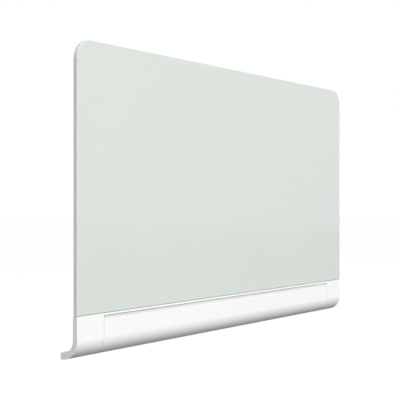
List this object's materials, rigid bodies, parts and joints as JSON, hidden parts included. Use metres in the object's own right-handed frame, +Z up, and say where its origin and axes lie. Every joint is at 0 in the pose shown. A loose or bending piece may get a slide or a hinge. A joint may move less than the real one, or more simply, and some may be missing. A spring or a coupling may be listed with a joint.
{
  "type": "wall-hung glass marker board with hinged tray",
  "caption": "Wall-hung glass marker board with rounded top corners and a curved white fascia whose long door flips down as an accessory tray.",
  "frame": {"origin": "middle of the wall rail's back face, on the wall plane", "axes": "+X along the board's width to the right as seen from the front, +Y into the wall, +Z up"},
  "size_m": [1.27, 0.0502, 0.7112],
  "materials": {
    "glass_back_painted": "tempered glass, painted white on its back, polished edges",
    "frame_grey_green": "satin grey-green paint",
    "white_satin": "satin white",
    "zinc_steel": "zinc plated",
    "mill_aluminium": "mill finish extrusion",
    "core_board": "pale laminate on fibreboard",
    "black_rubber": "matt",
    "grey_felt": "felt",
    "magnet_case": "moulded case around a magnet",
    "acetal": "moulded acetal"
  },
  "bodies": {
    "board": {"back_rail": "white_satin", "bracket_screw_1": "zinc_steel", "bracket_screw_2": "zinc_steel", "bracket_screw_3": "zinc_steel", "bracket_screw_4": "zinc_steel", "bracket_screw_5": "zinc_steel", "bracket_screw_6": "zinc_steel", "core_board": "core_board", "cover_screw_left": "zinc_steel", "cover_screw_right": "zinc_steel", "end_cover_left": "white_satin", "end_cover_right": "white_satin", "end_strap_left": "zinc_steel", "end_strap_right": "zinc_steel", "frame_bottom": "frame_grey_green", "frame_corner_left": "frame_grey_green", "frame_corner_right": "frame_grey_green", "frame_left": "frame_grey_green", "frame_right": "frame_grey_green", "frame_top": "frame_grey_green", "glass_panel": "glass_back_painted", "hanger_rail": "mill_aluminium", "hanger_screw_1": "zinc_steel", "hanger_screw_2": "zinc_steel", "hanger_screw_3": "zinc_steel", "hanger_screw_4": "zinc_steel", "hinge_block_left": "acetal", "hinge_block_right": "acetal", "hinge_pin_left": "zinc_steel", "hinge_pin_right": "zinc_steel", "joiner_bar_left": "zinc_steel", "joiner_bar_right": "zinc_steel", "lip_rail": "white_satin", "magnet_catch_left": "magnet_case", "magnet_catch_right": "magnet_case", "rail_screw_1": "zinc_steel", "rail_screw_2": "zinc_steel", "rail_screw_3": "zinc_steel", "shelf_screw_1": "zinc_steel", "shelf_screw_2": "zinc_steel", "shelf_screw_3": "zinc_steel", "steel_backing_sheet": "zinc_steel", "strap_screw_left": "zinc_steel", "strap_screw_right": "zinc_steel", "tray_bracket_centre": "zinc_steel", "tray_bracket_left": "zinc_steel", "tray_bracket_right": "zinc_steel", "wall_bumper_left": "black_rubber", "wall_bumper_right": "black_rubber", "wall_rail": "mill_aluminium"},
    "door": {"door_end_plate_left": "white_satin", "door_end_plate_right": "white_satin", "hinge_bush_left": "acetal", "hinge_bush_right": "acetal", "strike_plate_left": "zinc_steel", "strike_plate_right": "zinc_steel", "tray_door": "white_satin", "tray_mat": "grey_felt"}
  },
  "joints": [
    {"name": "tray_door_hinge", "type": "hinge", "parent": "board", "child": "door", "pos_m": [0, -0.0155, -0.59335], "axis": [1, 0, 0], "range_deg": [0, 60]}
  ]
}
